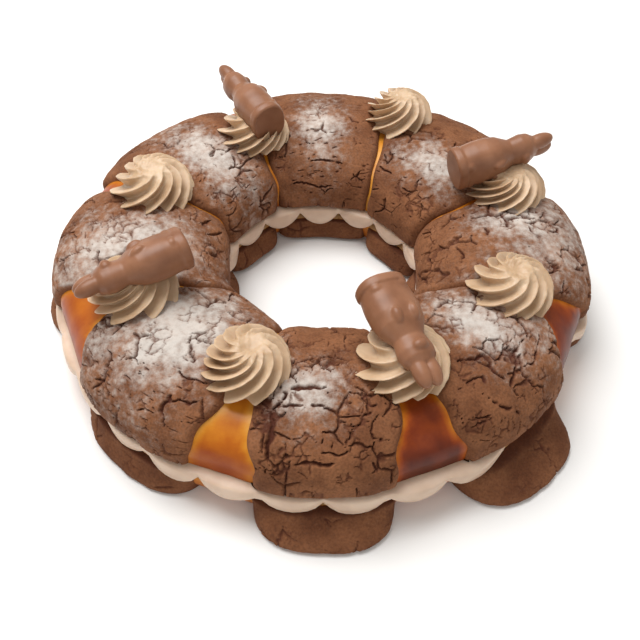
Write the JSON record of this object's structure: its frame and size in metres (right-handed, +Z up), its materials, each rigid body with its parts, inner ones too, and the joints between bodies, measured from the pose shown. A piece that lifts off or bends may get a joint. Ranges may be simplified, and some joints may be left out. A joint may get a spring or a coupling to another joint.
{
  "type": "filled ring loaf",
  "caption": "Ring-shaped sweet bread split and filled with piped cream, with cracked cocoa paste panels, cream rosettes and small chocolate rabbits on top.",
  "frame": {"origin": "middle of the hole on the table, under the centre of the bounding box", "axes": "+Z up through the hole, +Y to the back, +X to the right seen from the front"},
  "size_m": [0.2823, 0.2905, 0.083],
  "materials": {
    "glazed_crust": "egg-washed golden brown crust, glossy",
    "cocoa_paste": "baked cocoa sugar paste, matt and cracked, dusted with icing sugar",
    "filling_cream": "pale pinkish beige pastry cream, soft sheen",
    "rosette_cream": "piped light coffee butter cream, soft sheen",
    "milk_chocolate": "moulded milk chocolate, satin"
  },
  "bodies": {
    "root": {"bread_top": "glazed_crust", "bread_bottom": "glazed_crust", "cream_filling": "filling_cream", "panel_1": "cocoa_paste", "panel_2": "cocoa_paste", "panel_3": "cocoa_paste", "panel_4": "cocoa_paste", "panel_5": "cocoa_paste", "panel_6": "cocoa_paste", "panel_7": "cocoa_paste", "panel_8": "cocoa_paste", "foot_1": "cocoa_paste", "foot_2": "cocoa_paste", "foot_3": "cocoa_paste", "foot_4": "cocoa_paste", "foot_5": "cocoa_paste", "foot_6": "cocoa_paste", "foot_7": "cocoa_paste", "foot_8": "cocoa_paste", "inner_foot_1": "cocoa_paste", "inner_foot_2": "cocoa_paste", "inner_foot_3": "cocoa_paste", "inner_foot_4": "cocoa_paste", "inner_foot_5": "cocoa_paste", "inner_foot_6": "cocoa_paste", "inner_foot_7": "cocoa_paste", "inner_foot_8": "cocoa_paste", "rosette_1": "rosette_cream", "rosette_2": "rosette_cream", "rosette_3": "rosette_cream", "rosette_4": "rosette_cream", "rosette_5": "rosette_cream", "rosette_6": "rosette_cream", "rosette_7": "rosette_cream", "rosette_8": "rosette_cream", "bunny_1": "milk_chocolate", "bunny_2": "milk_chocolate", "bunny_3": "milk_chocolate", "bunny_4": "milk_chocolate"}
  },
  "joints": []
}
